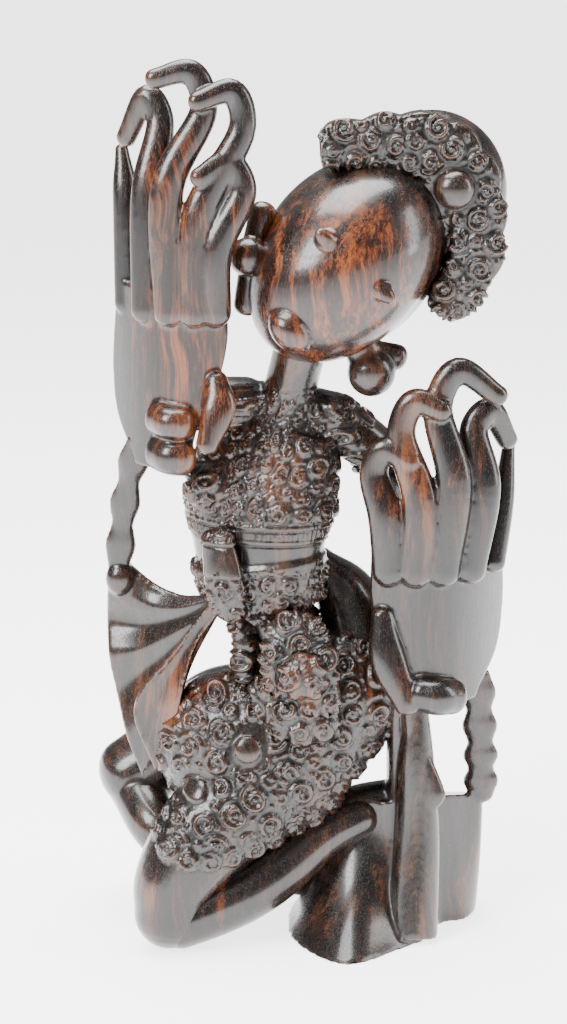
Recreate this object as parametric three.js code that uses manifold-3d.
// A legong dancer carved from one block of dark striped wood. She kneels on one knee, her head
// leaning over her left shoulder, with a wing of hooked plumes on each arm. Sashes fall from the
// waist and the wings, and the cloth under her foot spreads into the foot that the carving stands on.
// Millimetres, +Z up, -Y towards the viewer, +X to the viewer's right, the ground at z = 0.
import * as THREE from "three";
import { mergeVertices } from "three/addons/utils/BufferGeometryUtils.js";
import Module from "manifold-3d";

const wasm = await Module();
wasm.setup();

// Driving dimensions
const GROUND_CENTRE = [1.15, -3.68]; // middle of the figure's plan, which becomes the origin
const CHEST_TURN = 27; // degrees that the chest turns to the viewer's left
const HEAD = { centre: [19, -8, 304], lean: 43, nod: 8, across: 35, up: 48, deep: 34 };
const PLUME = { root: 6.6, bend: 7.2, neck: 5.9, hook: 5.6, tip: 4.4, flat: 0.55 }; // half widths
const FOOT_TOP = 62; // height of the spread cloth
const WING_THICK = 9;
const CLOTH_THICK = 5;
const RELIEF = 2; // how far the carved ornament stands out
const SCALLOP = 0.65; // how far the skirt's hem dips between its points, to their spacing
const WOOD = { color: 0x4a2418, roughness: 0.35, metalness: 0 };

const vec = (x, y, z) => new THREE.Vector3(x, y, z);
const rad = THREE.MathUtils.degToRad;
const { lerp } = THREE.MathUtils;
const FRONT = vec(0, -1, 0);
const BACK = vec(0, 1, 0);
const CHEST_FACE = vec(-Math.sin(rad(CHEST_TURN)), -Math.cos(rad(CHEST_TURN)), 0);

// Shaping

// A closed skin of points and triangles as a solid, turned so that it faces out.
function solid(points, faces) {
  let volume = 0;
  for (const [a, b, c] of faces) volume += points[a].dot(points[b].clone().cross(points[c]));
  const outward = volume < 0 ? faces.map(([a, b, c]) => [a, c, b]) : faces;
  const vertProperties = new Float32Array(points.flatMap((point) => point.toArray()));
  const triVerts = new Uint32Array(outward.flat());
  return new wasm.Manifold(new wasm.Mesh({ numProp: 3, vertProperties, triVerts }));
}

// A closed three.js geometry as a solid.
function cast(geometry) {
  geometry.deleteAttribute("normal");
  geometry.deleteAttribute("uv");
  const merged = mergeVertices(geometry, 1e-4);
  const place = merged.attributes.position;
  const index = merged.index;
  const points = Array.from({ length: place.count }, (_, i) => vec().fromBufferAttribute(place, i));
  const faces = [];
  for (let i = 0; i < index.count; i += 3) {
    const face = [index.getX(i), index.getX(i + 1), index.getX(i + 2)];
    if (new Set(face).size === 3) faces.push(face);
  }
  return solid(points, faces);
}

const join = (solids) => wasm.Manifold.union(solids);

// A solid through closed rings of equal length, from one pole to the other.
function skin(rings, start, end) {
  const sides = rings[0].length;
  const at = (ring, side) => 1 + ring * sides + (side % sides);
  const last = 1 + rings.length * sides;
  const faces = [];
  for (let side = 0; side < sides; side++) {
    faces.push([0, at(0, side + 1), at(0, side)]);
    for (let ring = 0; ring < rings.length - 1; ring++) {
      const [a, b] = [at(ring, side), at(ring, side + 1)];
      const [c, d] = [at(ring + 1, side + 1), at(ring + 1, side)];
      faces.push([a, b, c], [a, c, d]);
    }
    faces.push([last, at(rings.length - 1, side), at(rings.length - 1, side + 1)]);
  }
  return solid([start, ...rings.flat(), end], faces);
}

// The value at t, from 0 to 1, along a list of values, on a smooth curve.
function along(values, t) {
  const place = t * (values.length - 1);
  const i = Math.min(Math.floor(place), values.length - 2);
  const pick = (k) => values[Math.min(Math.max(k, 0), values.length - 1)];
  const [before, a, b, after] = [pick(i - 1), pick(i), pick(i + 1), pick(i + 2)];
  const u = place - i;
  return 0.5 * (2 * a + (b - before) * u + (2 * before - 5 * a + 4 * b - after) * u * u
    + (3 * a - before - 3 * b + after) * u * u * u);
}

const curve = (points) => new THREE.CatmullRomCurve3(points.map((p) => vec(...p)), false, "centripetal");

// A rounded bar along a smooth path. across and deep are its half sizes at the points of the path,
// deep being measured towards face; dome is how far its ends bulge.
function bar(points, across, deep = across, options = {}) {
  const { face = FRONT, sides = 8, steps = 3 * (points.length - 1), power = 2, dome = 0.8 } = options;
  const path = curve(points);
  const ringAt = (t, grow, push) => {
    const tangent = path.getTangent(t);
    const middle = path.getPoint(t).addScaledVector(tangent, push);
    const depth = face.clone().addScaledVector(tangent, -face.dot(tangent)).normalize();
    const width = tangent.clone().cross(depth);
    return Array.from({ length: sides }, (_, i) => {
      const angle = Math.PI / 2 + (2 * Math.PI * i) / sides;
      const [c, s] = [Math.cos(angle), Math.sin(angle)];
      const w = Math.sign(c) * Math.abs(c) ** (2 / power) * along(across, t) * grow;
      const d = Math.sign(s) * Math.abs(s) ** (2 / power) * along(deep, t) * grow;
      return middle.clone().addScaledVector(width, w).addScaledVector(depth, d);
    });
  };
  const rings = [];
  for (let i = 0; i <= steps; i++) rings.push(ringAt(i / steps, 1, 0));
  const [first, final] = [across[0], across[across.length - 1]];
  if (dome > 0.3 && sides > 6) {
    rings.unshift(ringAt(0, 0.7, -0.7 * dome * first));
    rings.push(ringAt(1, 0.7, 0.7 * dome * final));
  }
  const pole = (t, push) => path.getPoint(t).addScaledVector(path.getTangent(t), push);
  return skin(rings, pole(0, -dome * first), pole(1, dome * final));
}

// A sheet over place(u, v), which gives its front, with a thickness behind it.
function sheet(place, thick, columns, rows, away = BACK) {
  const points = [];
  for (const back of [0, 1]) {
    for (let i = 0; i <= columns; i++) {
      for (let j = 0; j <= rows; j++) {
        points.push(place(i / columns, j / rows).addScaledVector(away, back * thick));
      }
    }
  }
  const at = (back, i, j) => back * (columns + 1) * (rows + 1) + i * (rows + 1) + j;
  const faces = [];
  const quad = (a, b, c, d) => faces.push([a, b, c], [a, c, d]);
  for (let i = 0; i < columns; i++) {
    for (let j = 0; j < rows; j++) {
      quad(at(0, i, j), at(0, i + 1, j), at(0, i + 1, j + 1), at(0, i, j + 1));
      quad(at(1, i, j), at(1, i, j + 1), at(1, i + 1, j + 1), at(1, i + 1, j));
    }
    quad(at(0, i, 0), at(1, i, 0), at(1, i + 1, 0), at(0, i + 1, 0));
    quad(at(0, i + 1, rows), at(1, i + 1, rows), at(1, i, rows), at(0, i, rows));
  }
  for (let j = 0; j < rows; j++) {
    quad(at(0, 0, j + 1), at(1, 0, j + 1), at(1, 0, j), at(0, 0, j));
    quad(at(0, columns, j), at(1, columns, j), at(1, columns, j + 1), at(0, columns, j + 1));
  }
  return solid(points, faces);
}

// An egg of three half sizes, turned by angles about x, y and z.
function egg(centre, size, turn = [0, 0, 0], sides = 12, rows = 8) {
  const geometry = new THREE.SphereGeometry(1, sides, rows);
  geometry.rotateX(Math.PI / 2);
  geometry.scale(...size);
  const spin = new THREE.Euler(...turn.map(rad));
  geometry.applyMatrix4(new THREE.Matrix4().makeRotationFromEuler(spin));
  geometry.translate(...centre);
  return cast(geometry);
}

// A turned boss: its profile, as radii and heights, about an axis.
function boss(centre, axis, profile, sides = 14) {
  const geometry = new THREE.LatheGeometry(profile.map(([r, h]) => new THREE.Vector2(r, h)), sides);
  const turn = new THREE.Quaternion().setFromUnitVectors(vec(0, 1, 0), vec(...axis).normalize());
  geometry.applyQuaternion(turn);
  geometry.translate(...centre);
  return cast(geometry);
}

// A leaf or scale: a pointed, cushioned form from its root to its tip.
function leaf(root, tip, half, lift = 3) {
  return bar([root, tip], [0.8 * half, 0.9 * half], [0.8 * lift, 0.8 * lift], { sides: 5, steps: 1, dome: 0.8 });
}

// A faceted bead that stands out of a surface towards the viewer.
function bead([x, y, z], radius, lift, sides = 6) {
  const ring = Array.from({ length: sides }, (_, i) => {
    const angle = (2 * Math.PI * i) / sides;
    return vec(x + radius * Math.cos(angle), y, z + radius * Math.sin(angle));
  });
  return skin([ring], vec(x, y - lift, z), vec(x, y + lift, z));
}

// A spiral scroll in relief about a centre in x and z, on the surface whose depth is given.
function scroll([x, z], radius, depthAt, options = {}) {
  const { hand = 1, start = 0, turns = 1.1, thick = 0.24, lift = RELIEF, steps = 7 } = options;
  const points = [];
  for (let i = 0; i <= steps; i++) {
    const t = i / steps;
    const reach = radius * lerp(1, 0.28, t);
    const angle = rad(start) + hand * 2 * Math.PI * turns * t;
    const [px, pz] = [x + reach * Math.cos(angle), z + reach * Math.sin(angle)];
    points.push([px, depthAt(px, pz), pz]);
  }
  const half = thick * radius;
  const ribbon = bar(points, [0.7 * half, half, 0.9 * half], [lift, lift, lift], { sides: 3, steps, dome: 0.5 });
  return join([ribbon, bead([x, depthAt(x, z), z], 0.34 * radius, 1.4 * lift)]);
}

// The front surface of a solid: its depth at x and z, or a fallback where there is none.
function frontOf(body) {
  const target = new THREE.Mesh(skinOf(body));
  target.material.side = THREE.DoubleSide;
  const caster = new THREE.Raycaster();
  return (x, z, fallback = 0) => {
    caster.set(vec(x, -500, z), BACK);
    const hit = caster.intersectObject(target)[0];
    return hit ? hit.point.y : fallback;
  };
}

function skinOf(body) {
  const { vertProperties, triVerts } = body.getMesh();
  const geometry = new THREE.BufferGeometry();
  geometry.setAttribute("position", new THREE.BufferAttribute(vertProperties, 3));
  geometry.setIndex(new THREE.BufferAttribute(triVerts, 1));
  return geometry;
}

// The figure

function torso() {
  const trunk = bar(
    [
      [4.7, 4, 104], [-5.3, 2, 127.5], [-12.4, 0, 144.5], [-17, -2, 159], [-18.5, -2, 180],
      [-17.7, 0, 197.5], [-12.4, 2, 217.5], [-8.8, 4, 233], [-5.3, 2, 243], [-2.7, -1, 255], [2, -4, 274],
    ],
    [27, 23.5, 18.5, 27, 31.5, 36, 32, 25, 13.5, 11.5, 12],
    [24, 20, 17, 20, 21, 22, 19, 15, 12.5, 11.5, 12],
    { face: CHEST_FACE, sides: 12, steps: 11, dome: 0.5 },
  );
  const breasts = [[-7.5, -9], [-38, -5]].map(([x, y]) => egg([x, y, 203], [13, 14, 12.5], [0, 0, 0], 8, 5));
  const belt = bar([[-15.5, -2, 152], [-18.5, -2, 172]], [28, 32.5], [21.5, 22.5], {
    face: CHEST_FACE, sides: 12, steps: 1, dome: 0.1,
  });
  const pendant = bar([[-36, -22, 184], [-33.5, -24, 168], [-31, -23, 154]], [8, 9.5, 8], [3.5, 5, 4], {
    face: CHEST_FACE, sides: 8, steps: 2,
  });
  const stone = egg([-31.6, -26, 163.6], [6.5, 4, 7], [0, 0, 0], 6, 4);
  const shoulders = bar([[-30, 6, 239], [-8, 5, 237], [15, 4, 233]], [11, 13, 12.5], [11, 12, 12], { steps: 4 });
  return [trunk, belt, pendant, stone, shoulders, ...breasts];
}

function arms() {
  const left = bar(
    [[12, 4, 234], [31, 6, 221], [47, 10, 204], [57, 3, 170], [61, -8, 135]],
    [12.5, 11, 10.5, 9.5, 9],
    [12, 11, 10.5, 9, 8],
    { steps: 7 },
  );
  const armlet = bar([[33, 6, 219], [38, 7.5, 213.5]], [12.5, 12.5], [12.5, 12.5], { steps: 1, dome: 0.15 });
  const right = bar(
    [[-24, 5, 240], [-42, -2, 242], [-56, -10, 241], [-60, -11, 262], [-57, -16, 288]],
    [12, 11, 10.5, 10, 8],
    [12, 11, 10.5, 10, 8],
    { sides: 6, steps: 5 },
  );
  return [left, armlet, right];
}

const NEAR_THIGH = {
  path: [[16, 2, 109], [0, -8, 86], [-22, -18, 68], [-42, -27, 50], [-56, -33, 29], [-58, -35, 16.5]],
  girth: [30, 27, 25.5, 23, 18.5, 16],
};

function legs() {
  const hip = bar(
    [[7, 8, 166], [20, 10, 152], [27, 10, 134.5], [27, 8, 111.5], [23, 4, 94]],
    [9, 14, 18, 19, 20],
    [9, 15, 20, 24, 24],
    { sides: 10, steps: 4 },
  );
  const [knee, bent] = [NEAR_THIGH.path.slice(2), NEAR_THIGH.girth.slice(2)];
  const nearThigh = bar(knee, bent, bent, { sides: 10, steps: 4, dome: 1 });
  const farThigh = bar(
    [[6, 20, 104], [-23, 27, 89], [-51, 27, 76], [-79, 24, 61]],
    [26, 23, 21, 17],
    [24, 21, 19, 17],
    { steps: 3 },
  );
  const nearShin = bar(
    [[-54, -37, 13], [-39, -34, 18], [-23, -30, 24.5], [-9, -25, 32.5], [12, -17, 47], [28, -12, 53.5]],
    [12.5, 13, 13, 12.5, 10, 9],
    [12, 12, 12, 11.5, 10, 9],
    { steps: 7 },
  );
  const farShin = bar(
    [[-76, 20, 56], [-63, 0, 42], [-46, 4, 31], [-27, 12, 23], [-4, 20, 15], [18, 28, 11.5]],
    [12, 12, 12.5, 12, 11.5, 11.5],
    [13, 12, 11.5, 11.5, 11.5, 11.5],
    { sides: 6, steps: 6 },
  );
  return [hip, nearThigh, farThigh, nearShin, farShin];
}

// The skirt over both thighs, cut along a scalloped hem.
function skirt() {
  const lap = egg([-21, -5, 82], [45, 34, 38], [0, -147, 0], 12, 8);
  const girth = NEAR_THIGH.girth.map((radius) => radius + 2.2);
  const over = bar(NEAR_THIGH.path, girth, girth, { sides: 12, steps: 8, dome: 1 });
  const hem = [[34, 70], [20, 61], [6, 54], [-8, 49], [-21, 45.5], [-34, 43], [-47, 42.5], [-58, 47], [-66, 57], [-68, 72]];
  const outline = new THREE.Shape([new THREE.Vector2(80, 70)]);
  outline.lineTo(...hem[0]);
  for (let i = 1; i < hem.length; i++) {
    const [[fromX, fromZ], [x, z]] = [hem[i - 1], hem[i]];
    const [dip, middle] = [SCALLOP * (fromX - x), SCALLOP * (z - fromZ)];
    outline.quadraticCurveTo((fromX + x) / 2 + middle, (fromZ + z) / 2 - dip, x, z);
  }
  outline.lineTo(-90, 72);
  outline.lineTo(-90, 140);
  outline.lineTo(80, 140);
  const prism = new THREE.ExtrudeGeometry(outline, { depth: 90, bevelEnabled: false, curveSegments: 2 });
  prism.rotateX(Math.PI / 2);
  prism.translate(0, 20, 0);
  return [join([lap, over]).intersect(cast(prism))];
}

// A plume: it leaves the wing, bends once and hooks over onto its neighbour. Its five places are the
// root, the bend, the neck, the crown of the hook and the tip.
function plume([root, bend, neck, crown, tip], wide = 1) {
  const across = [PLUME.root, PLUME.bend, PLUME.neck, PLUME.hook, PLUME.tip].map((half) => half * wide);
  const deep = across.map((half) => PLUME.flat * half + 1);
  return bar([root, bend, neck, crown, tip], across, deep, { sides: 5, steps: 7, dome: 0.9 });
}

const RIGHT_PLUMES = [
  [[-36, -29, 286], [-35.8, -30, 313], [-24.3, -27, 339], [-30.6, -27, 349.6], [-42.7, -31, 343.8]],
  [[-45, -30, 286], [-42.9, -29, 328], [-24.3, -25, 365.3], [-28.8, -25, 379], [-43.3, -29, 375.2]],
  [[-56, -28, 286], [-55.9, -27, 340.4], [-40.6, -22, 372.5], [-46, -21, 388.2], [-61.5, -22, 384.1]],
  [[-66, -20, 286], [-64.8, -17, 337], [-59.6, -12, 366.9], [-64.7, -10, 375.5], [-74.4, -6, 357.8]],
];

const LEFT_PLUMES = [
  [[38.5, -28, 172], [36.7, -27, 197.4], [31.8, -24, 215.8], [36.5, -25, 225.8], [47.6, -29, 221]],
  [[50, -30, 172], [51.6, -29, 204.6], [43.3, -25, 233.7], [49.2, -25, 246.9], [60.6, -28, 243.6]],
  [[62, -29, 172], [66.2, -28, 213.2], [59.2, -23, 245.2], [67.6, -22, 259.9], [85.1, -21, 248.7]],
  [[74, -24, 172], [79.3, -22, 209.6], [75.3, -17, 233.8], [81.9, -14, 240.7], [91.3, -8, 226.4]],
];

// A wing's front, which rounds back from the ridge at its middle to both edges: each side has a span
// and the depth that it falls back over that span.
const roundFront = (x, ridge, depth, left, right) => {
  const [span, drop] = x < ridge ? left : right;
  return depth + drop * ((x - ridge) / span) ** 2;
};
const rightFront = (x) => roundFront(x, -47, -30, [40, 42], [17, 6]);
const leftFront = (x) => roundFront(x, 53, -30, [23, 6], [38, 36]);

// A wing's shield: from its foot to its head, between two edges.
function shield(foot, head, left, right, front) {
  return sheet((u, v) => {
    const x = lerp(along(left, v), along(right, v), u);
    return vec(x, front(x), lerp(foot, head, v));
  }, WING_THICK, 5, 3);
}

// Overlapping leaves on a wing, each given by the x and z of its tip, its length and its half width.
const leaves = (rows, front, lean) => rows.map(([x, z, long, half]) =>
  leaf([x + lean * long, front(x + lean * long), z - long], [x, front(x) - 1.5, z], half, 3.5));

function rightWing() {
  const plumes = RIGHT_PLUMES.map((places) => plume(places));
  const last = bar([[-74.5, -4, 286], [-75.5, 0, 335], [-76.9, 4, 352]], [6, 5.5, 3], [4, 4, 3], { sides: 6, steps: 4 });
  const panel = shield(217, 296, [-72, -80, -82, -81, -79], [-48, -44, -35, -31, -33], rightFront);
  const scales = leaves([
    [-77, 290, 26, 6], [-67, 286, 28, 6], [-80, 266, 26, 6.5], [-74, 252, 30, 7],
  ], rightFront, 0.25);
  const petals = leaves([[-52, 297, 16, 5.5], [-35, 284, 20, 6.5]], rightFront, -0.05);
  const tongue = bar([[-36, -28, 257], [-35, -32, 246], [-40, -35, 230]], [5, 7.5, 5], [4, 4.5, 4], { steps: 5 });
  const curls = [
    scroll([-48, 287], 8, rightFront, { hand: -1, start: -20 }),
    scroll([-48, 262], 9, rightFront, { hand: 1, start: -60 }),
  ];
  const cuff = [[240, 7.5], [225, 8]].map(([z, tall]) => bar(
    [[-61, -25, z], [-56, -30, z - 1], [-51, -31, z - 1.5]], [tall, tall, tall], [6, 7, 6], { sides: 6, steps: 2 },
  ));
  return [panel, tongue, last, ...curls, ...plumes, ...scales, ...petals, ...cuff];
}

function leftWing() {
  const plumes = LEFT_PLUMES.map((places) => plume(places, 1.08));
  const last = bar([[85, -12, 172], [89.5, -5, 199], [92, 2, 222]], [5.5, 5, 3], [4, 4, 3], { sides: 6, steps: 4 });
  const panel = shield(110, 182, [46, 35, 32, 31, 31], [78, 88, 91, 91, 89], leftFront);
  const scales = leaves([
    [78, 180, 28, 6.5], [89, 158, 30, 6.5], [80, 144, 30, 6.5], [38, 176, 18, 6.5],
  ], leftFront, -0.15);
  const longLeaf = bar([[36, -27, 152], [38, -31, 134], [47, -35, 114]], [5, 8, 6], [4, 4.5, 4], { steps: 5 });
  const curls = [
    scroll([57, 170], 8.5, leftFront, { hand: 1, start: 200 }),
    scroll([57, 149], 7.5, leftFront, { hand: -1, start: 60 }),
  ];
  const cuff = bar([[53, -33, 118], [60, -33, 117], [67, -29, 115.5]], [8, 8.5, 8], [7, 8, 7], { sides: 6, steps: 2 });
  return [panel, longLeaf, last, cuff, ...curls, ...plumes, ...scales];
}

// A carved strap: a flat bar that swells at each of its scrolls.
function strap(points, narrow, swell, scrolls) {
  const steps = 2 * scrolls;
  const across = Array.from({ length: steps + 1 }, (_, i) => narrow + (i % 2) * swell);
  const path = curve(points);
  const places = across.map((_, i) => path.getPoint(i / steps).toArray());
  return bar(places, across, across.map((half) => 0.5 * half), { sides: 6, steps });
}

function straps() {
  const upper = strap([[-71, -9, 226], [-77.5, 1, 196], [-81, 5, 166]], 5, 2, 3);
  const long = strap([[80, 0, 116], [82, 3, 84], [83, 6, 58]], 6, 2.2, 4);
  const paddle = bar([[48.5, -15, 112], [51, -17, 92], [57, -20, 66]], [3.5, 4.5, 8.5], [3, 3, 3.5], { sides: 6, steps: 4 });
  const pillar = bar([[42.5, -8, 114], [43.5, -8, 56]], [3.5, 4.5], [8, 8], { sides: 6, steps: 1 });
  const post = bar([[-27, -8, 152], [-24.5, -12, 136], [-23, -14, 116]], [4.5, 4.5, 5.5], [6, 6, 6], { sides: 6, steps: 2 });
  const knot = egg([-80.5, 5, 160], [6.5, 6, 8], [0, 0, 0], 8, 5);
  return [upper, long, paddle, pillar, post, knot];
}

// The sash that fans out from the waist on the viewer's left, with its folded front lobe.
function drape() {
  const top = curve([[-34, -14, 160], [-48, -9, 155], [-63, -1, 157], [-83, 5, 172]]);
  const middle = curve([[-34, -16, 156], [-52, -10, 142], [-70, 0, 130], [-86, 6, 124]]);
  const bottom = curve([[-34, -18, 153], [-47, -19, 128], [-56, -18, 102], [-71, -11, 71]]);
  const fan = sheet((u, v) => {
    const [a, b, c] = [top, middle, bottom].map((edge) => edge.getPoint(u));
    const place = a.multiplyScalar(2 * (v - 0.5) * (v - 1)).addScaledVector(b, 4 * v * (1 - v))
      .addScaledVector(c, 2 * v * (v - 0.5));
    place.y += 2.6 * u * Math.cos(6 * Math.PI * v);
    return place;
  }, CLOTH_THICK, 4, 11);
  const inner = curve([[-33, -19, 155], [-46, -21, 136], [-53, -23, 110], [-58, -20, 79]]);
  const outer = curve([[-38, -20, 158], [-56, -20, 133], [-74, -16, 106], [-65, -19, 78]]);
  const lobe = sheet((u, v) => {
    const place = inner.getPoint(u).lerp(outer.getPoint(u), v);
    place.y += 3 * Math.sin(Math.PI * v) * Math.sin(Math.PI * u);
    return place;
  }, CLOTH_THICK, 5, 2);
  return [fan, lobe];
}

// The cloth under her foot: it spreads to the ground in folds.
function foot() {
  const plan = (places, z) => new THREE.CatmullRomCurve3(places.map(([x, y]) => vec(x, y, z)), true, "centripetal");
  const floor = plan([
    [-4, -24], [20, -56], [45, -38], [59, -24], [65, -8], [76, -3], [82, 12], [74, 34], [40, 40], [4, 30],
  ], 0);
  const crest = plan([
    [14, -6], [24, -12], [38, -16], [52, -14], [62, -8], [74, 0], [84, 8], [76, 22], [46, 26], [20, 20],
  ], FOOT_TOP);
  const levels = [0, 0.12, 0.34, 0.66, 1];
  const sides = 22;
  const rings = levels.map((level) => Array.from({ length: sides }, (_, i) => {
    const [low, high] = [floor.getPoint(i / sides), crest.getPoint(i / sides)];
    const place = high.clone().lerp(low, (1 - level) ** 2.2);
    place.z = level * (FOOT_TOP - 0.3 * Math.max(high.y + 8, 0));
    return place;
  }));
  const block = skin(rings, vec(40, 0, 0), vec(48, 0, FOOT_TOP));
  const fold = bar([[52, -10, 112], [52, -14, 84], [53, -18, 50], [51, -28, 2]], [5, 8, 10, 11], [7, 8, 9, 9], {
    sides: 6, steps: 5, dome: 0,
  });
  const knee = bar([[8, -6, 50], [26, -6, 57], [44, -4, 62]], [8, 9, 7], [10, 10, 8], { sides: 6, steps: 3 });
  return [block, fold, knee];
}

// The ornament at the middle of the skirt and on the lap.
function ornaments(depthAt) {
  const medallion = bar([[-2, -28, 143], [0, -32, 130], [6, -33, 117]], [13, 16, 11], [5, 6, 5], { sides: 8, steps: 3 });
  const dome = egg([1, -38, 128], [9, 6, 9], [0, 0, 0], 8, 5);
  const fall = bar([[-16, -24, 116], [-4, -32, 108], [10, -30, 104]], [8, 10, 8], [6, 6, 6], { steps: 2 });
  const discs = [[-46, 79, 6.5], [-24, 99, 6]].map(([x, z, r]) => egg([x, depthAt(x, z), z], [r, 3, r], [0, 0, 0], 8, 4));
  const curls = [
    [-30, 80, 10, 1, 90], [-5, 84, 11, -1, 90], [18, 88, 9, 1, 200],
    [-46, 60, 9, -1, 100], [-20, 60, 10, 1, 60], [36, 112, 9, 1, 90],
  ].map(([x, z, radius, hand, start]) => scroll([x, z], radius, depthAt, { hand, start }));
  return [medallion, dome, fall, ...discs, ...curls];
}

// The head, built upright about the origin and then leant over her shoulder.
function head() {
  const skull = egg([0, 0, 0], [HEAD.across, HEAD.deep, HEAD.up], [0, 0, 0], 12, 9);
  const hair = egg([0, 8, 5], [HEAD.across + 2.5, HEAD.deep, HEAD.up - 1], [0, 0, 0], 10, 7);
  const nose = bar([[0, -33, 6], [0, -37, -6], [0, -40, -14]], [2.4, 3, 4.5], [3, 3.6, 4], { sides: 6, steps: 3 });
  const lids = [-1, 1].map((side) => egg([14 * side, -30, 1], [8.5, 3.5, 4], [0, 0, -22 * side], 6, 4));
  const lips = [-24, -27.6].map((z, i) => bar(
    [[-8, -26, z + 1], [0, -31, z], [8, -26, z + 1]], [1.4, 2.4 + 0.3 * i, 1.4], [2, 2.6, 2], { sides: 4, steps: 4 },
  ));
  const chin = egg([0, -18, -38], [10, 8, 8], [0, 0, 0], 6, 4);
  const { centre, lean, nod } = HEAD;
  return [join([skull, hair, nose, chin, ...lids, ...lips]).rotate([-nod, 0, 0]).rotate([0, lean, 0]).translate(centre)];
}

// The ear discs with their leaves.
function ears() {
  const disc = boss([-22.5, -14, 308], [-0.35, -1, 0], [[0, -9], [7, -9], [8.5, 1], [7, 2.4], [0, 2.4]], 10);
  const leafUp = leaf([-20, -8, 314], [-16, -6, 326], 7, 6);
  const leafDown = leaf([-21, -8, 300], [-23, -8, 286], 7, 5);
  const ball = egg([31, -6, 256], [10.5, 9, 10.5], [0, 0, 0], 10, 6);
  const lobe = leaf([34, -4, 265], [42, -2, 262], 7, 6);
  const root = bar([[22, -4, 276], [31, -4, 258]], [8, 8], [7, 7], { sides: 6, steps: 1 });
  return [disc, leafUp, leafDown, ball, root, lobe];
}

// The crest of carved lobes over the brow, and the smooth dome of hair behind it.
function coiffure() {
  const dome = egg([57, 13, 333], [33, 21, 35], [0, 0, 0], 12, 7);
  const middle = curve([
    [8, -12, 354], [29, -10, 355.5], [46.6, -9, 355.5], [62, -8, 350], [71.5, -8, 338], [76, -8, 320],
    [74, -9, 303], [60, -10, 282],
  ]);
  const half = [9, 10.5, 12.5, 14, 13.5, 11.5, 11, 9];
  const crest = sheet((u, v) => {
    const place = middle.getPoint(u);
    const ahead = middle.getTangent(u);
    const outward = vec(-ahead.z, 0, ahead.x).normalize();
    const lobes = 0.92 + 0.2 * Math.abs(Math.sin(8 * Math.PI * u));
    const ends = Math.min(1, Math.sqrt((0.03 + u) / 0.06), Math.sqrt((1.03 - u) / 0.06));
    const reach = 2 * v - 1;
    place.addScaledVector(outward, reach * along(half, u) * ends * (reach > 0 ? lobes : 1));
    place.y -= 3 * (1 - reach * reach);
    return place;
  }, 13, 20, 2);
  const gem = boss([65.6, -10, 336.6], [0, -1, 0], [[0, -3], [8, -3], [8, 2], [5, 4], [0, 4.5]], 10);
  return [dome, crest, gem];
}

// Where two forms graze each other the join can leave a speck of no volume: only the figure is kept.
const largest = (body) => body.decompose().reduce((a, b) => (b.volume() > a.volume() ? b : a));

const carved = join([...torso(), ...arms(), ...legs(), ...skirt(), ...foot()]);
const body = join([
  carved, ...ornaments(frontOf(carved)), ...rightWing(), ...leftWing(), ...straps(), ...drape(), ...head(), ...ears(),
  ...coiffure(),
]);

const dancer = new THREE.Mesh(skinOf(largest(body)), new THREE.MeshStandardMaterial(WOOD));
dancer.name = "legong_dancer";
dancer.position.set(-GROUND_CENTRE[0], -GROUND_CENTRE[1], 0);

const figure = new THREE.Group();
figure.add(dancer);
export default figure;
